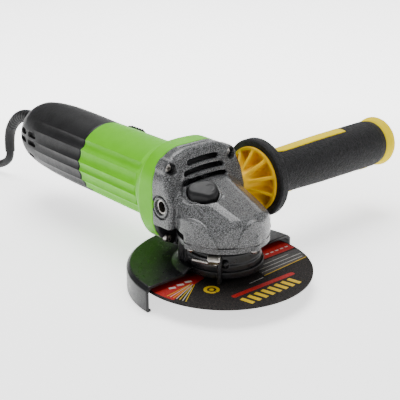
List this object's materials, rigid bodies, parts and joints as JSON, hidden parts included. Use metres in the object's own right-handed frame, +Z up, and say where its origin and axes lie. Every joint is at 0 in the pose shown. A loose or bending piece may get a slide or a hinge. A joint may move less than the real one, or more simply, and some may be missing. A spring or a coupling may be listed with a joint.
{
  "type": "angle grinder",
  "caption": "Slim corded angle grinder with a cutting disc, half guard, side handle, spindle lock and slide switch, driven by a brushed motor through bevel gears.",
  "frame": {"origin": "centre of the spindle's free lower end", "axes": "+Z up the spindle axis, +X out of the gear head along the motor axis, away from the cord; +Y along the side handle"},
  "size_m": [0.4665, 0.3462, 0.0952],
  "materials": {
    "cast_head": "hammertone grey enamel on cast aluminium",
    "zinc_screws": "zinc plated",
    "cast_neck": "grey cast aluminium",
    "green_plastic": "fine matt moulding",
    "black_plastic": "fine matt moulding",
    "gear_steel": "hardened steel",
    "ground_steel": "ground steel",
    "spring_steel": "oiled spring steel",
    "race_steel": "polished steel",
    "black_steel": "black oxide",
    "guard_paint": "black powder coat",
    "abrasive": "resin bonded grit with a printed label",
    "tin_ring": "stamped tin",
    "laminations": "stacked steel sheet",
    "copper_wire": "enamelled copper wire",
    "copper_bars": "machined copper",
    "fan_plastic": "moulded plastic",
    "black_rubber": "soft rubber",
    "grip_rubber": "leather grained rubber",
    "yellow_plastic": "satin moulding",
    "carbon": "pressed carbon",
    "brass_boxes": "folded brass",
    "cord_rubber": "smooth rubber",
    "plug_brass": "nickel plated brass"
  },
  "bodies": {
    "housing": {"gear_housing": "cast_head", "gear_housing_screws": "zinc_screws", "bearing_box_screws": "zinc_screws", "rear_cover_screw": "zinc_screws", "bearing_box": "cast_neck", "motor_housing": "green_plastic", "rear_cover": "black_plastic", "lower_bearing_outer": "race_steel", "bearing_retainer": "ground_steel", "needle_bearing": "race_steel", "front_bearing_outer": "race_steel", "rear_bearing_outer": "race_steel", "rear_bearing_sleeve": "black_rubber", "stator_core": "laminations", "stator_windings": "copper_wire", "air_baffle": "fan_plastic", "brush_holders": "brass_boxes", "switch_unit": "fan_plastic", "cord_clamp": "fan_plastic", "strain_relief": "black_rubber", "power_cord": "cord_rubber", "cord_coil": "cord_rubber", "cord_tail": "cord_rubber", "plug_body": "cord_rubber", "plug_pins": "plug_brass", "brush_spring_left": "spring_steel", "brush_spring_right": "spring_steel", "lock_spring": "spring_steel"},
    "rotor": {"armature_shaft": "ground_steel", "armature_core": "laminations", "armature_windings": "copper_wire", "commutator": "copper_bars", "fan": "fan_plastic", "pinion": "gear_steel", "pinion_nut": "gear_steel", "front_bearing_inner": "race_steel", "rear_bearing_inner": "race_steel"},
    "spindle": {"spindle": "ground_steel", "bevel_gear": "gear_steel", "gear_retaining_ring": "spring_steel", "lower_bearing_inner": "race_steel", "inner_flange": "black_steel"},
    "disc": {"cutting_disc": "abrasive", "disc_centre_ring": "tin_ring"},
    "nut": {"flange_nut": "black_steel"},
    "lock": {"lock_button": "black_plastic", "lock_pin": "ground_steel"},
    "guard": {"guard_shell": "guard_paint", "guard_collar": "guard_paint", "guard_clamp_screw": "zinc_screws", "guard_clamp_nut": "zinc_screws"},
    "switch": {"switch_slider": "black_plastic", "switch_rod": "fan_plastic"},
    "side_handle": {"handle_stud": "zinc_screws", "handle_core": "yellow_plastic", "handle_grip": "grip_rubber"},
    "left_brush": {"brush_left": "carbon"},
    "right_brush": {"brush_right": "carbon"}
  },
  "joints": [
    {"name": "spindle_spin", "type": "hinge", "parent": "housing", "child": "spindle", "pos_m": [0, 0, 0], "axis": [0, 0, 1], "continuous": true},
    {"name": "rotor_spin", "type": "hinge", "parent": "housing", "child": "rotor", "pos_m": [0, 0, 0.056], "axis": [1, 0, 0], "continuous": true},
    {"name": "nut_off", "type": "slide", "parent": "spindle", "child": "nut", "axis": [0, 0, -1], "range_m": [0, 0.014]},
    {"name": "disc_off", "type": "slide", "parent": "spindle", "child": "disc", "axis": [0, 0, -1], "range_m": [0, 0.014]},
    {"name": "lock_press", "type": "slide", "parent": "housing", "child": "lock", "axis": [0, 0, -1], "range_m": [0, 0.0031], "stiffness_N_per_m": 800, "springref_m": -0.0015, "deforming": ["lock_spring"]},
    {"name": "guard_turn", "type": "hinge", "parent": "housing", "child": "guard", "pos_m": [0, 0, 0], "axis": [0, 0, 1], "range_deg": [-75, 90]},
    {"name": "switch_slide", "type": "slide", "parent": "housing", "child": "switch", "axis": [1, 0, 0], "range_m": [0, 0.007]},
    {"name": "handle_off", "type": "slide", "parent": "housing", "child": "side_handle", "axis": [0, 1, 0], "range_m": [0, 0.022]},
    {"name": "left_brush_slide", "type": "slide", "parent": "housing", "child": "left_brush", "axis": [0, 1, 0], "range_m": [0, 0.0025], "stiffness_N_per_m": 400, "springref_m": -0.002, "deforming": ["brush_spring_left"]},
    {"name": "right_brush_slide", "type": "slide", "parent": "housing", "child": "right_brush", "axis": [0, -1, 0], "range_m": [0, 0.0025], "stiffness_N_per_m": 400, "springref_m": -0.002, "deforming": ["brush_spring_right"]}
  ],
  "couplings": [
    {"joint": "rotor_spin", "follows": "spindle_spin", "ratio": -3},
    {"joint": "disc_off", "follows": "nut_off", "ratio": 1}
  ]
}
